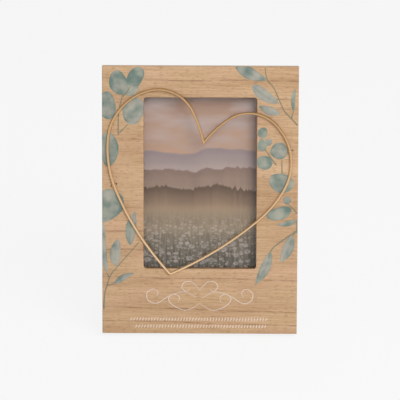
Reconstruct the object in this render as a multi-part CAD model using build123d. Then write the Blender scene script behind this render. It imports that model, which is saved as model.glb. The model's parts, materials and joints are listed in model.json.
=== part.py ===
from build123d import *
import math
import os

# Free-standing photo frame: a wood-effect board with a window, a wire heart tied across its face,
# and a hinged easel strut behind. Millimetres and degrees. Every piece is drawn on the upright board:
# X to the right as seen from the front, Y to the back from the board's front face, Z up from its bottom
# edge. The whole frame is then leaned back onto its strut.

# Print, and the window that shows it
print_width = 101.6
print_height = 152.4
print_thickness = 0.3
window_lip = 2.4
window_bottom = 56.7
window_corner = 2.5

# Board
board_width = 168.0
board_height = 231.0
board_depth = 15.0
front_ease = 0.8
rear_ease = 0.4

# Rebate behind the window, and the layers that fill it
rebate_play = 1.2
rebate_corner = 3.0
layer_clearance = 0.5
glass_thickness = 2.0
filler_thickness = 1.5
panel_thickness = 3.0
stack_slack = 0.2

# Wire heart, drawn as bends from its tip up each side; the last bend of each side closes on the notch,
# where the wire's two ends are welded. A heading is the lean of a side from upright where it leaves the tip.
# The drawn heart is then sized to leave its room to the board's left and right edges.
wire_diameter = 2.3
wire_stand_off = 0.1
tip_bend = 1.3
weld_height = 0.1
weld_round = 0.7
heart_left_room = 3.7
heart_right_room = 4.8
heart_tip_height = 52.7
notch_across = 28.3
notch_above = 113.1
left_heading = 43.0
left_flank_radius = 239.9
left_flank_angle = 20.3
left_hip_radius = 93.2
left_hip_angle = 28.0
left_shoulder_radius = 47.4
left_shoulder_angle = 67.4
left_lobe_radius = 32.5
left_lobe_angle = 81.1
right_heading = 66.8
right_flank_radius = 291.9
right_flank_angle = 17.5
right_hip_radius = 97.6
right_hip_angle = 19.2
right_shoulder_radius = 46.9
right_shoulder_angle = 77.2
right_lobe_radius = 31.3
right_lobe_angle = 77.5

# Wire ties that hold the heart, at a share of the way up each side from the tip
left_tie_share = 0.348
right_tie_share = 0.614
tie_diameter = 0.6
tie_side_room = 0.7
tie_crown_room = 0.1
tie_hole_clearance = 0.5
tie_clinch_bend = 0.8
tie_clinch_length = 5.0
tie_rear_gap = 0.1

# Easel strut and its stance
lean = 13.0
strut_opening = 25.0
hinge_height = 162.0
strut_thickness = 3.0
strut_top_width = 40.0
strut_foot_width = 58.0
strut_top_drop = 4.0
strut_top_corner = 3.0

# Strut hinge: a bracket on the panel, a clip on the strut and a pin through both
sheet_thickness = 0.8
pin_diameter = 2.0
pin_running_clearance = 0.05
pin_head_diameter = 3.6
pin_head_height = 0.8
pin_head_round = 0.4
pin_end_play = 0.05
clip_width = 24.0
clip_ear_radius = 2.2
clip_ear_room = 0.4
clip_length = 16.0
stop_clearance = 0.1
bracket_ear_radius = 3.0
bracket_side_clearance = 0.3
bracket_length = 20.0
bracket_corner = 4.0

# Rivets through the bracket and panel, and through the clip and strut
rivet_diameter = 2.4
rivet_hole_clearance = 0.05
rivet_head_diameter = 4.4
rivet_head_height = 1.0
rivet_head_round = 0.8
rivet_tail_diameter = 3.8
rivet_tail_height = 0.6
tail_recess_clearance = 0.1
bracket_rivet_spacing = 15.0
bracket_rivet_height = 14.8
clip_rivet_spacing = 13.0
clip_rivet_drop = 11.0

# Turn buttons that hold the back panel, with their screws
button_width = 9.0
button_reach = 14.5
button_thickness = 1.0
button_gap = 0.1
button_edge = 7.5
button_inset = 25.0
button_dimple_diameter = 3.0
button_dimple_depth = 0.4
screw_diameter = 2.4
screw_running_clearance = 0.05
screw_length = 9.0
screw_head_diameter = 4.8
screw_head_height = 1.5
screw_head_round = 0.75
screw_head_gap = 0.05
screw_pilot_clearance = 0.05
cross_slot_width = 0.7
cross_slot_length = 2.8
cross_slot_depth = 0.8

# Sizes that follow from the ones above
window_width = print_width - 2 * window_lip
window_height = print_height - 2 * window_lip
window_centre = window_bottom + window_height / 2
rebate_width = print_width + 2 * rebate_play
rebate_height = print_height + 2 * rebate_play
layer_width = rebate_width - 2 * layer_clearance
layer_height = rebate_height - 2 * layer_clearance
layer_corner = rebate_corner - layer_clearance
rebate_depth = glass_thickness + print_thickness + filler_thickness + panel_thickness + stack_slack
lip_depth = board_depth - rebate_depth
print_front = lip_depth + glass_thickness
filler_front = print_front + print_thickness
panel_front = filler_front + filler_thickness
panel_rear = panel_front + panel_thickness
wire_radius = wire_diameter / 2
wire_depth = -wire_stand_off - wire_radius
weld_radius = wire_radius + weld_height
tip_turn = 90 - (left_heading + right_heading) / 2
tie_radius = tie_diameter / 2
tie_half_span = wire_radius + tie_radius + tie_side_room
tie_arch_front = -(wire_stand_off + wire_diameter + tie_crown_room + tie_radius - tie_half_span)
hinge_depth = panel_rear + sheet_thickness + clip_ear_room + clip_ear_radius
strut_front = hinge_depth - strut_thickness / 2
strut_rear = strut_front + strut_thickness
clip_rear = strut_rear + sheet_thickness
heel_fall = strut_thickness / 2 * math.cos(math.radians(strut_opening))
heel_travel = heel_fall + hinge_depth - panel_rear - sheet_thickness - stop_clearance
heel_length = heel_travel / math.sin(math.radians(strut_opening))
bracket_inside = clip_width / 2 + bracket_side_clearance
bracket_outside = bracket_inside + sheet_thickness
button_pivot_x = rebate_width / 2 + button_edge
button_low = window_centre - rebate_height / 2 + button_inset
button_high = window_centre + rebate_height / 2 - button_inset
button_front = board_depth + button_gap
screw_head_front = button_front + button_thickness + screw_head_gap


def slab(sketch, front, thickness):
    """A flat piece from an outline seen from the front, between two depths."""
    return extrude(Plane.XZ.offset(-front - thickness) * sketch, thickness, dir=(0, -1, 0))


def rod(x, z, radius, front, length):
    """A round bar along the depth of the board."""
    return slab(Pos(x, z) * Circle(radius), front, length)


def side_plate(sketch, left, thickness):
    """A plate that stands on edge, from an outline of depth against height."""
    return extrude(Plane.YZ.offset(left) * sketch, thickness, dir=(1, 0, 0))


def heart_side(tip, size, side):
    """One side of the heart from its tip to its notch: side is -1 on the left and 1 on the right."""
    if side < 0:
        heading = left_heading
        radii = (left_flank_radius, left_hip_radius, left_shoulder_radius, left_lobe_radius)
        angles = (left_flank_angle, left_hip_angle, left_shoulder_angle, left_lobe_angle)
    else:
        heading = right_heading
        radii = (right_flank_radius, right_hip_radius, right_shoulder_radius, right_lobe_radius)
        angles = (right_flank_angle, right_hip_angle, right_shoulder_angle, right_lobe_angle)
    bends = [(tip_bend, tip_turn)] + [(size * radius, angle) for radius, angle in zip(radii, angles)]
    point = tip
    start = math.radians(heading + tip_turn)
    direction = Vector(side * math.sin(start), math.cos(start))
    edges = []
    for radius, angle in bends:
        bend = JernArc(start=point, tangent=direction, radius=radius, arc_size=side * angle)
        edges.append(bend)
        point = bend @ 1
        direction = bend % 1
    notch = tip + Vector(notch_across, notch_above) * size
    edges.append(TangentArc(point, notch, tangent=direction))
    return edges


drawn = Wire(heart_side(Vector(0, 0), 1, -1) + heart_side(Vector(0, 0), 1, 1)).bounding_box()
heart_room = board_width - heart_left_room - heart_right_room - wire_diameter
heart_size = heart_room / (drawn.max.X - drawn.min.X)
heart_left = heart_left_room + wire_radius - board_width / 2
heart_tip = Vector(heart_left - drawn.min.X * heart_size, heart_tip_height)
heart_notch = heart_tip + Vector(notch_across, notch_above) * heart_size
left_side = heart_side(heart_tip, heart_size, -1)
right_side = heart_side(heart_tip, heart_size, 1)


def tie_places():
    """Where each tie crosses the wire: the point on the board and the wire's direction there."""
    places = []
    for edges, share in ((left_side, left_tie_share), (right_side, right_tie_share)):
        side = Wire(edges)
        places.append((side.position_at(share), side.tangent_at(share)))
    return places


def tie_legs():
    """The points where the ties' legs pass through the board."""
    points = []
    for point, along in tie_places():
        across = Vector(along.Y, -along.X)
        points += [point - across * tie_half_span, point + across * tie_half_span]
    return points


def button_places():
    """Name, pivot and arm direction of each turn button, left and right as seen from the front."""
    places = []
    for level, height in (("upper", button_high), ("lower", button_low)):
        for side, sign in (("left", -1), ("right", 1)):
            places.append((f"turn_button_{level}_{side}", sign * button_pivot_x, height, -sign))
    return places


def make_face_board():
    outline = Pos(0, board_height / 2) * Rectangle(board_width, board_height)
    window = Pos(0, window_centre) * RectangleRounded(window_width, window_height, window_corner)
    rebate = Pos(0, window_centre) * RectangleRounded(rebate_width, rebate_height, rebate_corner)
    board = slab(outline - window, 0, board_depth)
    board = fillet(board.edges().filter_by_position(Axis.Y, 0, 0), front_ease)
    rear = board.edges().filter_by_position(Axis.Y, board_depth, board_depth)
    outer = [edge for edge in rear if abs(edge.center().X) > window_width / 2 or edge.length > window_height]
    outer = [edge for edge in outer if edge.geom_type == GeomType.LINE]
    board = fillet(outer, rear_ease)
    board -= slab(rebate, lip_depth, rebate_depth)
    hole_radius = tie_radius + tie_hole_clearance
    for leg in tie_legs():
        board -= rod(leg.X, leg.Y, hole_radius, 0, board_depth)
    pilot_radius = screw_diameter / 2 + screw_pilot_clearance
    pilot_depth = screw_length - button_thickness - button_gap
    for name, x, z, direction in button_places():
        board -= rod(x, z, pilot_radius, board_depth - pilot_depth, pilot_depth)
    return board


def make_heart_wire():
    """One wire bent tightly at the tip, its two ends joined by a small round weld at the notch."""
    upright = Plane.XZ.offset(-wire_depth)
    weld = rod(heart_notch.X, heart_notch.Y, weld_radius, wire_depth - weld_radius, 2 * weld_radius)
    wire = fillet(weld.edges().filter_by(GeomType.CIRCLE), weld_round)
    length = 0
    for edges in (left_side, right_side):
        path = upright * Wire(edges)
        wire += sweep(Plane(origin=path @ 0, z_dir=path % 0) * Circle(wire_radius), path=path)
        length += path.length
    share = wire.volume / (math.pi * wire_radius**2 * length)
    print("heart size", round(heart_size, 4), "wire length", round(length, 2), "volume share", round(share, 5))
    return wire


def make_wire_ties():
    """U-shaped ties: an arch over the heart wire, two legs through the board, bent over behind."""
    ties = []
    leg_end = board_depth + tie_rear_gap + tie_radius - tie_clinch_bend
    for point, along in tie_places():
        across = Vector(along.Y, 0, -along.X)
        tangent = Vector(along.X, 0, along.Y)
        middle = Vector(point.X, 0, point.Y)
        arch_plane = Plane(origin=middle, x_dir=across, z_dir=tangent)
        depth_sign = 1 if arch_plane.y_dir.Y > 0 else -1
        front = depth_sign * tie_arch_front
        rear = depth_sign * leg_end
        hoop = Wire(
            [
                Line((-tie_half_span, rear), (-tie_half_span, front)),
                ThreePointArc(
                    (-tie_half_span, front), (0, front - depth_sign * tie_half_span), (tie_half_span, front)
                ),
                Line((tie_half_span, front), (tie_half_span, rear)),
            ]
        )
        hoop = arch_plane * hoop
        tie = sweep(Plane(origin=hoop @ 0, z_dir=hoop % 0) * Circle(tie_radius), path=hoop)
        for sign in (-1, 1):
            foot = middle + across * (sign * tie_half_span) + Vector(0, leg_end, 0)
            bend_plane = Plane(origin=foot, x_dir=(0, 1, 0), z_dir=across)
            turn = 90 if bend_plane.y_dir.dot(tangent) < 0 else -90
            bend = JernArc(start=(0, 0), tangent=(1, 0), radius=tie_clinch_bend, arc_size=turn)
            tail = Line(bend @ 1, bend @ 1 + (bend % 1) * tie_clinch_length)
            path = bend_plane * Wire([bend, tail])
            tie += sweep(Plane(origin=path @ 0, z_dir=path % 0) * Circle(tie_radius), path=path)
        ties.append(tie)
    return Compound([tie.solid() for tie in ties])


def make_layer(front, thickness):
    """A sheet that fills the rebate."""
    return slab(Pos(0, window_centre) * RectangleRounded(layer_width, layer_height, layer_corner), front, thickness)


def make_photo_print():
    return slab(Pos(0, window_centre) * Rectangle(print_width, print_height), print_front, print_thickness)


def bracket_rivet_points():
    height = hinge_height + bracket_rivet_height
    return [(sign * bracket_rivet_spacing / 2, height) for sign in (-1, 1)]


def clip_rivet_points():
    height = hinge_height - clip_rivet_drop
    return [(sign * clip_rivet_spacing / 2, height) for sign in (-1, 1)]


def make_back_panel():
    panel = make_layer(panel_front, panel_thickness)
    recess_depth = rivet_tail_height + tail_recess_clearance
    for x, z in bracket_rivet_points():
        panel -= rod(x, z, rivet_diameter / 2 + rivet_hole_clearance, panel_front, panel_thickness)
        panel -= rod(x, z, rivet_tail_diameter / 2 + tail_recess_clearance, panel_front, recess_depth)
    return panel


def hinge_ear(radius, root_depth):
    """Outline of an ear: round about the hinge pin and straight back to the plate at that depth."""
    reach = root_depth - hinge_depth
    arm = Pos(hinge_depth + reach / 2, hinge_height) * Rectangle(abs(reach), 2 * radius)
    return arm + Pos(hinge_depth, hinge_height) * Circle(radius)


def make_hinge_bracket():
    length = bracket_length + bracket_ear_radius
    middle = hinge_height + (bracket_length - bracket_ear_radius) / 2
    outline = Pos(0, middle) * Rectangle(2 * bracket_outside, length)
    outline = fillet(outline.vertices().group_by(Axis.Y)[-1], bracket_corner)
    bracket = slab(outline, panel_rear, sheet_thickness)
    ear = hinge_ear(bracket_ear_radius, panel_rear)
    ear -= Pos(hinge_depth, hinge_height) * Circle(pin_diameter / 2 + pin_running_clearance)
    for left in (-bracket_outside, bracket_inside):
        bracket += side_plate(ear, left, sheet_thickness)
    for x, z in bracket_rivet_points():
        bracket -= rod(x, z, rivet_diameter / 2 + rivet_hole_clearance, panel_rear, sheet_thickness)
    return bracket


def make_strut_clip():
    """Folded position: a plate on the strut's rear face, with a heel above the pin that stops the strut."""
    outline = Pos(0, hinge_height + (heel_length - clip_length) / 2)
    outline *= Rectangle(clip_width, clip_length + heel_length)
    clip = slab(outline, strut_rear, sheet_thickness)
    ear = hinge_ear(clip_ear_radius, clip_rear)
    ear -= Pos(hinge_depth, hinge_height) * Circle(pin_diameter / 2 + pin_running_clearance)
    for left in (-clip_width / 2, clip_width / 2 - sheet_thickness):
        clip += side_plate(ear, left, sheet_thickness)
    for x, z in clip_rivet_points():
        clip -= rod(x, z, rivet_diameter / 2 + rivet_hole_clearance, strut_rear, sheet_thickness)
    return clip


def make_strut():
    """Folded position, long enough to be cut off at the floor once it stands open."""
    top = hinge_height - strut_top_drop
    outline = Polygon(
        (-strut_top_width / 2, top),
        (strut_top_width / 2, top),
        (strut_foot_width / 2, 0),
        (strut_foot_width / 2, -strut_foot_width),
        (-strut_foot_width / 2, -strut_foot_width),
        (-strut_foot_width / 2, 0),
        align=None,
    )
    outline = fillet(outline.vertices().group_by(Axis.Y)[-1], strut_top_corner)
    strut = slab(outline, strut_front, strut_thickness)
    for x, z in clip_rivet_points():
        strut -= rod(x, z, rivet_diameter / 2 + rivet_hole_clearance, strut_front, strut_thickness)
    return strut


def make_rivets(points, front, rear):
    """Rivets with a tail at the front of what they hold and a domed head at the rear."""
    rivets = []
    for x, z in points:
        shank = rod(x, z, rivet_diameter / 2, front, rear - front)
        tail = rod(x, z, rivet_tail_diameter / 2, front - rivet_tail_height, rivet_tail_height)
        head = rod(x, z, rivet_head_diameter / 2, rear, rivet_head_height)
        rim = head.edges().filter_by_position(Axis.Y, rear + rivet_head_height, rear + rivet_head_height)
        head = fillet(rim, rivet_head_round)
        rivets.append((shank + tail + head).solid())
    return Compound(rivets)


def make_hinge_pin():
    half = bracket_outside + pin_end_play
    centre = Pos(hinge_depth, hinge_height)
    pin = side_plate(centre * Circle(pin_diameter / 2), -half, 2 * half)
    for left in (-half - pin_head_height, half):
        head = side_plate(centre * Circle(pin_head_diameter / 2), left, pin_head_height)
        outer = left if left < 0 else left + pin_head_height
        pin += fillet(head.edges().filter_by_position(Axis.X, outer, outer), pin_head_round)
    return pin


def make_turn_button(x, z, direction):
    """A flat arm that turns on its screw; its end reaches over the back panel."""
    span = button_reach - button_width / 2
    outline = Pos(x + direction * span / 2, z) * SlotCenterToCenter(span, button_width)
    button = slab(outline, button_front, button_thickness)
    button -= rod(x, z, screw_diameter / 2 + screw_running_clearance, button_front, button_thickness)
    dimple_front = button_front + button_thickness - button_dimple_depth
    button -= rod(x + direction * span, z, button_dimple_diameter / 2, dimple_front, button_dimple_depth)
    return button


def make_button_screws():
    screws = []
    for name, x, z, direction in button_places():
        shank_front = button_front + button_thickness - screw_length
        screw = rod(x, z, screw_diameter / 2, shank_front, screw_head_front - shank_front)
        head = rod(x, z, screw_head_diameter / 2, screw_head_front, screw_head_height)
        crown = screw_head_front + screw_head_height
        screw += fillet(head.edges().filter_by_position(Axis.Y, crown, crown), screw_head_round)
        for width, height in ((cross_slot_length, cross_slot_width), (cross_slot_width, cross_slot_length)):
            screw -= slab(Pos(x, z) * Rectangle(width, height), crown - cross_slot_depth, cross_slot_depth)
        screws.append(screw.solid())
    return Compound(screws)


def opened(piece):
    """Swing a strut piece from its folded position to its stop."""
    axis = Axis((0, hinge_depth, hinge_height), (1, 0, 0))
    return piece.rotate(axis, strut_opening)


def stance(piece):
    """Lean a piece of the upright board back until the board's rear bottom edge meets the floor."""
    tilt = math.radians(lean)
    lift = (board_depth - rear_ease) * math.sin(tilt) + rear_ease * (1 - math.cos(tilt))
    return Pos(0, 0, lift) * Rot(X=-lean) * piece


def cut_at_floor(piece):
    """Trim the strut's foot flat on the floor."""
    reach = 4 * board_height
    return piece - Pos(0, 0, -reach / 2) * Box(reach, reach, reach)


pieces = {
    "face_board": stance(make_face_board()),
    "heart_wire": stance(make_heart_wire()),
    "wire_ties": stance(make_wire_ties()),
    "glass_pane": stance(make_layer(lip_depth, glass_thickness)),
    "photo_print": stance(make_photo_print()),
    "filler_card": stance(make_layer(filler_front, filler_thickness)),
    "back_panel": stance(make_back_panel()),
    "hinge_bracket": stance(make_hinge_bracket()),
    "bracket_rivets": stance(
        make_rivets(bracket_rivet_points(), panel_front + rivet_tail_height, panel_rear + sheet_thickness)
    ),
    "hinge_pin": stance(make_hinge_pin()),
    "strut_clip": stance(opened(make_strut_clip())),
    "clip_rivets": stance(opened(make_rivets(clip_rivet_points(), strut_front, clip_rear))),
    "easel_strut": cut_at_floor(stance(opened(make_strut()))),
    "button_screws": stance(make_button_screws()),
}
for name, x, z, direction in button_places():
    pieces[name] = stance(make_turn_button(x, z, direction))

# The origin is on the floor, under the middle of the standing frame
whole = Compound([solid for piece in pieces.values() for solid in piece.solids()])
box = whole.bounding_box()
middle_shift = Pos(0, -(box.min.Y + box.max.Y) / 2, 0)

os.makedirs("parts", exist_ok=True)
for name, piece in pieces.items():
    export_step(middle_shift * piece, f"parts/{name}.step")

print("box", [round(v, 3) for v in (*box.min, *box.max)])
places = [("hinge", 0, hinge_depth, hinge_height)]
places += [(name, x, button_front, z) for name, x, z, direction in button_places()]
places += [("window centre on the glass", 0, lip_depth, window_centre)]
places += [("front face at the bottom edge", 0, 0, 0), ("middle of the bottom edge", 0, board_depth / 2, 0)]
for name, x, y, z in places:
    point = (middle_shift * stance(Vertex(x, y, z))).center()
    print(name, [round(v, 4) for v in point])
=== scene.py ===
import json
import math
from functools import partial

import bmesh
import bpy
from bpy.props import FloatProperty, FloatVectorProperty, IntProperty, PointerProperty
from mathutils import Matrix, Vector


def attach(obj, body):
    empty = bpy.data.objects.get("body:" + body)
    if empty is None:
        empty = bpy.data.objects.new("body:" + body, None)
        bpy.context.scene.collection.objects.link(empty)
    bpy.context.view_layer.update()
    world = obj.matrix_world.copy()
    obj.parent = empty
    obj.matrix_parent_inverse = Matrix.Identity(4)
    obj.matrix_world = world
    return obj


bl_info = {
    "name": "Wire heart photo frame",
    "version": (1, 0, 0),
    "blender": (4, 5, 0),
    "location": "3D View > Sidebar > Photo frame",
    "description": "Finishes, printed sprigs and studio stage for a standing photo frame with a wire heart",
    "category": "Object",
}

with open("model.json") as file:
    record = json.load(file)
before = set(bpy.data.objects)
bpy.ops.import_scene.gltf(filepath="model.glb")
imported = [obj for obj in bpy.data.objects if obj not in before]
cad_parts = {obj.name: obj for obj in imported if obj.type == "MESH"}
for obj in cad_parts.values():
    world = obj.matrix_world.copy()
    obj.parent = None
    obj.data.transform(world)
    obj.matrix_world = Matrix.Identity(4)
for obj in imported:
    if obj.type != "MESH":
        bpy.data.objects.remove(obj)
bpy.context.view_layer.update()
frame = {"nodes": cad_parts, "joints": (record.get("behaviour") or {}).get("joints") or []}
MM = 0.001

# The board's own directions: to the right, to the back and up along its leaning face
RIGHT = Vector((1, 0, 0))
REAR = Vector(next(j["axis"] for j in frame["joints"] if j["name"] == "turn_upper_left_button"))
UP = RIGHT.cross(REAR)


def span(node, direction):
    """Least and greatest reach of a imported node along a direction, in metres."""
    reach = [vertex.co.dot(direction) for vertex in frame["nodes"][node].data.vertices]
    return min(reach), max(reach)


# Where the board lies: the middle of its bottom front edge, and its sizes in mm
FRONT = span("face_board", REAR)[0]
FOOT, HEAD = span("face_board", UP)
SIDES = span("face_board", RIGHT)
PLACE = RIGHT * sum(SIDES) / 2 + REAR * FRONT + UP * FOOT
BOARD_WIDTH = (SIDES[1] - SIDES[0]) / MM
BOARD_HEIGHT = (HEAD - FOOT) / MM
TURN = Matrix((RIGHT, REAR, UP)).transposed()
# From a drawing in mm on the board's face, X to the right and Y up, to its place in the frame
FACE_TURN = Matrix((RIGHT, UP, -REAR)).transposed().to_4x4()
DRAWING = Matrix.Translation(PLACE) @ FACE_TURN @ Matrix.Scale(MM, 4)
MIDDLE = DRAWING @ Vector((0, BOARD_HEIGHT / 2, 0))

# The window and the rebate behind it, in mm, from the print and the glass that lie there
WINDOW_LIP = 2.4
FRONT_EASE = 0.8
GLASS_ROOM = 1
WINDOW_SIDE = span("photo_print", RIGHT)[1] / MM - WINDOW_LIP
WINDOW_FOOT = (span("photo_print", UP)[0] - FOOT) / MM + WINDOW_LIP
WINDOW_HEAD = (span("photo_print", UP)[1] - FOOT) / MM - WINDOW_LIP
REBATE_SIDE = span("glass_pane", RIGHT)[1] / MM + GLASS_ROOM


def linear(code):
    """Linear colour of an sRGB hex value."""
    channels = [int(code[place : place + 2], 16) / 255 for place in (1, 3, 5)]
    return tuple(c / 12.92 if c <= 0.04045 else ((c + 0.055) / 1.055) ** 2.4 for c in channels)


# Kinds of node that most finishes use
MATH = "ShaderNodeMath"
VECTOR = "ShaderNodeVectorMath"
RANGE = "ShaderNodeMapRange"
MIX = "ShaderNodeMix"
NOISE = "ShaderNodeTexNoise"
SEPARATE = "ShaderNodeSeparateXYZ"
SURFACE = "ShaderNodeBsdfPrincipled"
OUTPUT = "ShaderNodeOutputMaterial"
# Sockets of a range: the ends of what comes in, and of what goes out
LOW, HIGH = "From Min", "From Max"
BOTTOM, TOP = "To Min", "To Max"


def add(tree, kind, inputs=None, operation=None, **settings):
    """Add a node with its operation, if it has one, and its settings.

    Inputs maps sockets to plain values, other sockets or nodes; a node stands for its first output in use.
    A mix is always of colours, with its share at socket 0 and the two colours at 6 and 7.
    """
    node = tree.nodes.new(kind)
    if kind == MIX:
        node.data_type = "RGBA"
    if operation:
        node.operation = operation
    for name, value in settings.items():
        setattr(node, name, value)
    for key, value in (inputs or {}).items():
        socket = node.inputs[key]
        if isinstance(value, bpy.types.Node):
            value = next(output for output in value.outputs if output.enabled)
        if isinstance(value, bpy.types.NodeSocket):
            tree.links.new(value, socket)
        else:
            socket.default_value = (*value, 1) if socket.type == "RGBA" else value
    return node


def new_material(name):
    """A new material with an empty node tree, and what adds nodes to it."""
    material = bpy.data.materials.new(name)
    material.use_nodes = True
    material.node_tree.nodes.clear()
    return material, partial(add, material.node_tree)


def new_group(name, kind, inputs, outputs):
    """A new node group with sockets of these names and kinds, and what adds nodes to it."""
    tree = bpy.data.node_groups.new(name, kind)
    for in_out, sockets in (("INPUT", inputs), ("OUTPUT", outputs)):
        for label, socket in sockets.items():
            tree.interface.new_socket(label, in_out=in_out, socket_type=f"NodeSocket{socket}")
    return tree, partial(add, tree)


def dress(material, *names):
    """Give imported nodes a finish, in their own slots."""
    for name in names:
        for slot in frame["nodes"][name].material_slots:
            slot.material = material


def board_point(put):
    """Object coordinates as mm on the board: X to the right, Y to the back, Z up."""
    where = put("ShaderNodeTexCoord").outputs["Object"]
    board = {"Location": PLACE, "Rotation": TURN.to_euler(), "Scale": (MM, MM, MM)}
    return put("ShaderNodeMapping", {"Vector": where, **board}, vector_type="TEXTURE")


# Settings that a user would change


def tint(name, description, code):
    """A colour setting with its sRGB hex value as the default."""
    return FloatVectorProperty(name=name, description=description, subtype="COLOR", default=linear(code))


class PHOTOFRAME_PG_board(bpy.types.PropertyGroup):
    oak_light: tint("Oak, light", "Pale wood of the printed grain", "#D8B690")
    oak_dark: tint("Oak, dark", "Brown wood of the printed grain", "#B8936E")
    oak_seam: tint("Oak seams", "Dark lines along the grain", "#835A3C")
    oak_blush: tint("Oak, rosy", "Rosy patches of the printed grain", "#DAB393")
    fibre_length: FloatProperty(
        name="Fibre length", description="Length of a grain streak in mm", default=30, min=5
    )
    fibre_width: FloatProperty(
        name="Fibre width", description="Width of a grain streak in mm", default=1.15, min=0.2
    )
    bare_board: tint("Bare board", "Fibreboard where nothing is printed", "#94704F")
    back_board: tint("Back board", "Hardboard of the panel and strut", "#6F5138")
    card: tint("Filler card", "Grey pulp board", "#8D877E")


class PHOTOFRAME_PG_metal(bpy.types.PropertyGroup):
    gold: tint("Gold", "Plating on the heart's lobes", "#D0AA7D")
    # The tip gold is painted light: a paler gold towards the heart's tip that stands in for the brighter
    # reflections on the lower wire
    tip_painted_light_gold: tint("Tip gold", "Paler plating at the heart's tip", "#F0CDA4")
    tie_gold: tint("Tie gold", "Plating of the fine tie wire", "#F2CFA6")
    gold_roughness: FloatProperty(
        name="Gold roughness", description="Satin of the gold", subtype="FACTOR", default=0.2, min=0, max=1
    )
    zinc: tint("Zinc", "Plating of the hinge, buttons and screws", "#C6C8CA")
    zinc_roughness: FloatProperty(
        name="Zinc roughness", description="Satin of the zinc", subtype="FACTOR", default=0.36, min=0, max=1
    )


class PHOTOFRAME_PG_sprigs(bpy.types.PropertyGroup):
    sage: tint("Sage", "Pale wash of the printed leaves", "#A6A59C")
    teal: tint("Teal", "Deep wash of the printed leaves", "#607D77")
    bloom: tint("Bloom", "Pale patches in the wash", "#C0BFAD")
    stem: tint("Stem", "Ink of the printed stems", "#7F8672")
    ink: tint("Pale ink", "Ink of the flourish and seed rows", "#EDDCCE")
    film: FloatProperty(
        name="Ink film", description="Thickness of the printed ink in mm", default=0.05, min=0.01
    )
    stem_width: FloatProperty(
        name="Stem width", description="Width of a printed stem in mm", default=1.05, min=0.2
    )
    stroke_width: FloatProperty(
        name="Stroke width", description="Width of a flourish stroke in mm", default=0.68, min=0.2
    )
    seed_count: IntProperty(name="Seeds", description="Seeds in the upper row", default=47, min=3)


class PHOTOFRAME_PG_stage(bpy.types.PropertyGroup):
    paper: tint("Studio paper", "Floor and surround", "#FAFAFA")
    ceiling: tint("Ceiling", "Unlit ceiling that shiny pieces mirror", "#BEBAB4")
    fill: FloatProperty(name="Fill light", description="Strength of the even light", default=0.5, min=0)
    key: FloatProperty(
        name="Key light", description="Power of the lamp above", subtype="POWER", default=15.6, min=0
    )
    azimuth: FloatProperty(
        name="Azimuth", description="Camera round the frame", subtype="ANGLE", default=math.radians(0.44)
    )
    elevation: FloatProperty(
        name="Elevation", description="Camera above the floor", subtype="ANGLE", default=math.radians(19.9)
    )
    roll: FloatProperty(
        name="Roll", description="Camera about its own axis", subtype="ANGLE", default=math.radians(0.11)
    )
    distance: FloatProperty(name="Distance", description="Camera to board", subtype="DISTANCE", default=1.8)
    lens: FloatProperty(name="Lens", description="Focal length, 36 mm sensor", unit="CAMERA", default=188.8)


class PHOTOFRAME_PG_settings(bpy.types.PropertyGroup):
    board: PointerProperty(type=PHOTOFRAME_PG_board)
    metal: PointerProperty(type=PHOTOFRAME_PG_metal)
    sprigs: PointerProperty(type=PHOTOFRAME_PG_sprigs)
    stage: PointerProperty(type=PHOTOFRAME_PG_stage)


# Finishes

# Range that holds nearly all values of a noise pattern
NOISE_RANGE = {LOW: 0.3, HIGH: 0.7}
# Sheen of the foil and of all that is printed on it, and the faint relief of its grain
SATIN = {"Roughness": 0.5, "Specular IOR Level": 0.3}
FOIL_RELIEF = {"Strength": 0.25, "Distance": 0.1 * MM}

# The grain falls a little to the right, and wanders up and down by this much in mm
GRAIN_SLOPE = math.radians(1.1)
GRAIN_WAVE = 5
# Figure of the grain: reach along and across it, in mm
DRIFT = (90, 34)
BANDS = (190, 17)
PORES = (4.5, 0.85)
ROSY_PATCHES = (60, 22)
SEAM_BREAKS = (14, 5)
# Share of the tone that comes from the broad bands; the fibres give the rest
BAND_SHARE = 0.45
# Dark lines along the grain: height on the board, and where the line starts and ends, in mm
SEAMS = (
    (219.5, -90, 90),
    (204.0, 40, 90),
    (195.5, 52, 90),
    (168.0, -90, -40),
    (108.5, -90, -40),
    (87.5, -90, -30),
    (71.0, -90, -40),
    (48.5, -90, 90),
    (21.0, -90, 90),
    (9.0, -90, 90),
)
# A seam's half width at its core and soft edge, the length of its fading ends, and its depth
SEAM_CORE = 0.1
SEAM_EDGE = 0.95
SEAM_END = 6
SEAM_DEPTH = 0.6
# Cosine from which a face counts as an edge of the board, or as its rear
EDGE_FACING = 0.7
REAR_FACING = 0.6
# Fibre clumps are about 0.5 mm; they are drawn coarser so that they show
SPECK = 2.5


def grain_scale(length, width):
    """Pattern scale for a figure of this length along the grain and width across it, in mm."""
    return 1 / length, 1 / length, 1 / width


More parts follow.
